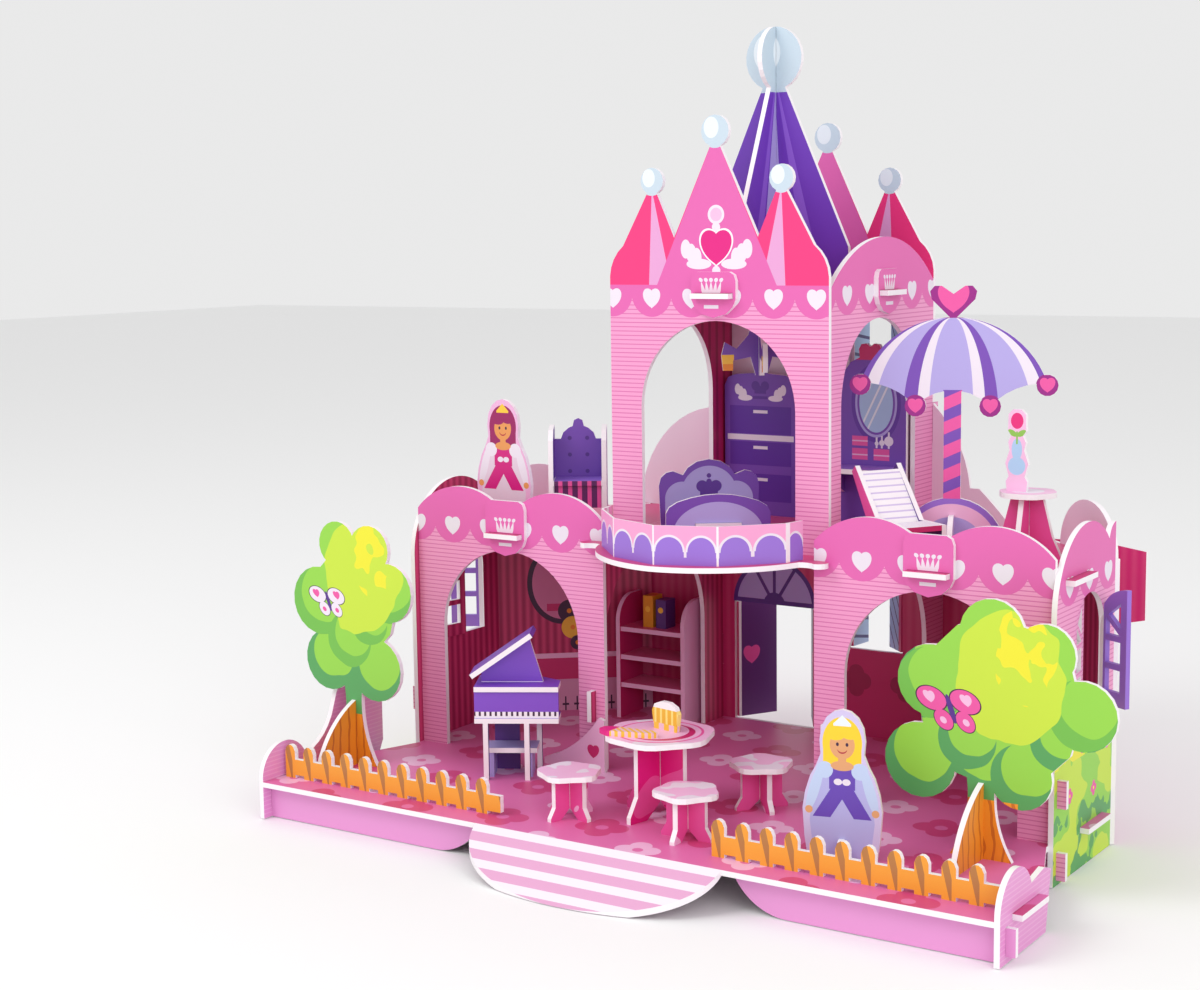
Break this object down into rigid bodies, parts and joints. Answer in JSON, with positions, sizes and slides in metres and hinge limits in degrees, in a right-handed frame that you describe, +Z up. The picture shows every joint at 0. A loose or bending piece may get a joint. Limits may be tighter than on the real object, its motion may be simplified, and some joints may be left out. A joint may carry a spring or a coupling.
{
  "type": "cardboard castle",
  "caption": "Toy castle of slotted foam board: a gabled tower with crossed roof boards, two arched wings, a balcony, a garden with trees and fences, and card furniture.",
  "frame": {"origin": "middle of the castle's overall box, on the ground", "axes": "+X along the front, to the right for someone who faces the gate; +Y to the back; +Z up"},
  "size_m": [0.5158, 0.3442, 0.4622],
  "materials": {
    "brick_print": "printed, satin",
    "fence_print": "printed, satin",
    "figure_print": "printed, satin",
    "floor_print": "printed, satin",
    "furniture_pink_print": "printed, satin",
    "furniture_purple_print": "printed, satin",
    "gold_print": "printed, satin",
    "keystone_print": "printed, satin",
    "leaf_print": "printed, satin",
    "level_print": "printed, satin",
    "rail_print": "printed, satin",
    "roof_print": "printed, satin",
    "trunk_print": "printed, satin"
  },
  "bodies": {
    "root": {"balcony_plate": "level_print", "balcony_railing": "rail_print", "bed_base": "furniture_purple_print", "bed_footboard": "furniture_purple_print", "bed_headboard": "furniture_purple_print", "bookcase": "furniture_pink_print", "chandelier": "gold_print", "corner_wall_left": "brick_print", "corner_wall_right": "brick_print", "curved_stand": "furniture_pink_print", "dining_table_legs": "furniture_pink_print", "dining_table_top": "furniture_pink_print", "dresser": "furniture_purple_print", "fence_left": "fence_print", "fence_right": "fence_print", "figure_garden": "figure_print", "figure_terrace": "figure_print", "floor_plate": "floor_print", "front_skirt_left": "brick_print", "front_skirt_right": "brick_print", "garden_end_left": "brick_print", "garden_end_right": "brick_print", "inner_wall_left": "brick_print", "inner_wall_right": "brick_print", "keystone_tower_front": "keystone_print", "keystones_tower_sides": "keystone_print", "keystones_wings": "keystone_print", "lounge_sides": "furniture_pink_print", "lounge_slats": "furniture_pink_print", "piano_case": "furniture_purple_print", "piano_legs": "furniture_purple_print", "piano_lid": "furniture_purple_print", "rear_wall": "brick_print", "roof_board_deep": "roof_print", "roof_board_wide": "roof_print", "rose_vase": "furniture_pink_print", "stand_feet": "figure_print", "stool_legs": "furniture_pink_print", "stool_seats": "furniture_pink_print", "table_toys": "gold_print", "terrace_chair_back": "furniture_purple_print", "terrace_chair_frame": "furniture_purple_print", "terrace_plate_left": "level_print", "terrace_plate_right": "level_print", "tower_ceiling": "level_print", "tower_front_wall": "brick_print", "tower_side_left": "brick_print", "tower_side_right": "brick_print", "tree_braces": "trunk_print", "tree_left": "leaf_print", "tree_right": "leaf_print", "umbrella": "roof_print", "vanity_board": "furniture_purple_print", "vanity_table": "furniture_purple_print", "vase_table_legs": "furniture_pink_print", "vase_table_top": "furniture_pink_print", "wing_front_left": "brick_print", "wing_front_right": "brick_print", "wing_side_left": "brick_print", "wing_side_right": "brick_print"}
  },
  "joints": []
}
